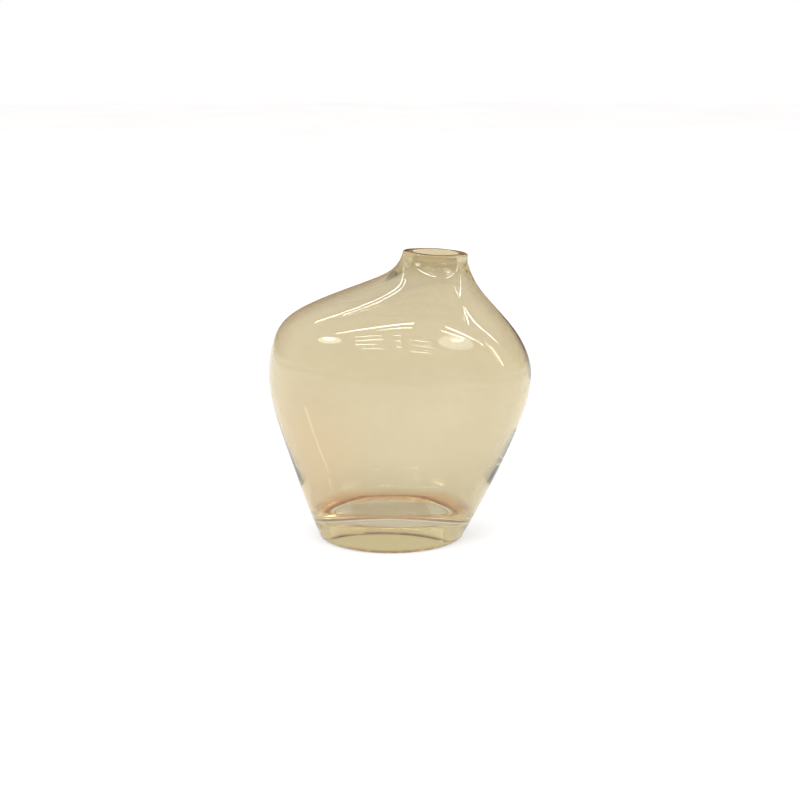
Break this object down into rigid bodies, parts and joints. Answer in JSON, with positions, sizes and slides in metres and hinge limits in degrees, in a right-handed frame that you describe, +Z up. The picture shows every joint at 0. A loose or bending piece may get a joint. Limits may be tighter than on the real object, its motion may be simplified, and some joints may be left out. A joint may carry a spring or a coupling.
{
  "type": "glass bud vase",
  "caption": "One-sided blown amber glass bud vase, flattened front to back, with a thick base, a neck set to one side and a leaning cut lip; a blank paper label sits under the foot.",
  "frame": {"origin": "centre of the foot, on the surface that the vase stands on", "axes": "+Z up, +X towards the side that the neck and the mouth are set to, +Y towards the back"},
  "size_m": [0.1359, 0.0972, 0.1508],
  "materials": {
    "amber_glass": "clear fire-polished amber glass",
    "label_paper": "uncoated blank paper"
  },
  "bodies": {
    "root": {"glass_vessel": "amber_glass", "base_label": "label_paper"}
  },
  "joints": []
}
